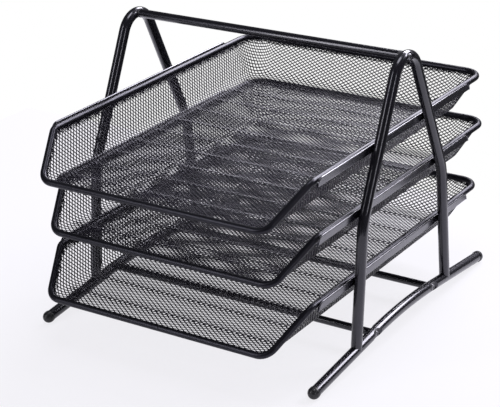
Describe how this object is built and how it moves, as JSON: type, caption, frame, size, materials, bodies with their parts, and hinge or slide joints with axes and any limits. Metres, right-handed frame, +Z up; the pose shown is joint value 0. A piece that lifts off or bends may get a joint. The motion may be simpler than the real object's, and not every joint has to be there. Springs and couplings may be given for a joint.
{
  "type": "letter tray stack with drawers",
  "caption": "Black steel mesh letter tray stack: open-front trays slide on short rails between two bent-tube arches joined by a carry bar.",
  "frame": {"origin": "on the desk, midway between the two arches and midway between the front lip of the lowest tray and the back rim of the middle one", "axes": "+Z up, -Y towards the user, where the trays are open and slide out, +X to the user's right"},
  "size_m": [0.297, 0.3824, 0.2623],
  "materials": {
    "frame_paint": "gloss",
    "tray_paint": "gloss",
    "mesh_paint": "satin",
    "cap_plastic": "matte",
    "screw_steel": "satin",
    "slug_steel": "satin"
  },
  "bodies": {
    "frame": {"arch_left": "frame_paint", "arch_right": "frame_paint", "foot_bar_left": "frame_paint", "foot_bar_right": "frame_paint", "foot_cap_front_left": "cap_plastic", "foot_cap_front_right": "cap_plastic", "foot_cap_rear_left": "cap_plastic", "foot_cap_rear_right": "cap_plastic", "top_bar": "frame_paint", "top_bar_plugs": "cap_plastic", "top_bar_screws": "screw_steel", "cross_bar_front": "frame_paint", "cross_bar_rear": "frame_paint", "cross_bar_plugs": "slug_steel", "cross_bar_screws": "screw_steel", "rail_top_left": "frame_paint", "rail_top_right": "frame_paint", "rail_middle_left": "frame_paint", "rail_middle_right": "frame_paint", "rail_bottom_left": "frame_paint", "rail_bottom_right": "frame_paint"},
    "tray_top": {"tray_top_mesh": "mesh_paint", "tray_top_rim": "tray_paint", "tray_top_hem": "mesh_paint"},
    "tray_middle": {"tray_middle_mesh": "mesh_paint", "tray_middle_rim": "tray_paint", "tray_middle_hem": "mesh_paint"},
    "tray_bottom": {"tray_bottom_mesh": "mesh_paint", "tray_bottom_rim": "tray_paint", "tray_bottom_hem": "mesh_paint"}
  },
  "joints": [
    {"name": "tray_top_slide", "type": "slide", "parent": "frame", "child": "tray_top", "axis": [0, -1, 0], "range_m": [-0.009, 0.116]},
    {"name": "tray_middle_slide", "type": "slide", "parent": "frame", "child": "tray_middle", "axis": [0, -1, 0], "range_m": [0, 0.125]},
    {"name": "tray_bottom_slide", "type": "slide", "parent": "frame", "child": "tray_bottom", "axis": [0, -1, 0], "range_m": [-0.011, 0.114]}
  ]
}
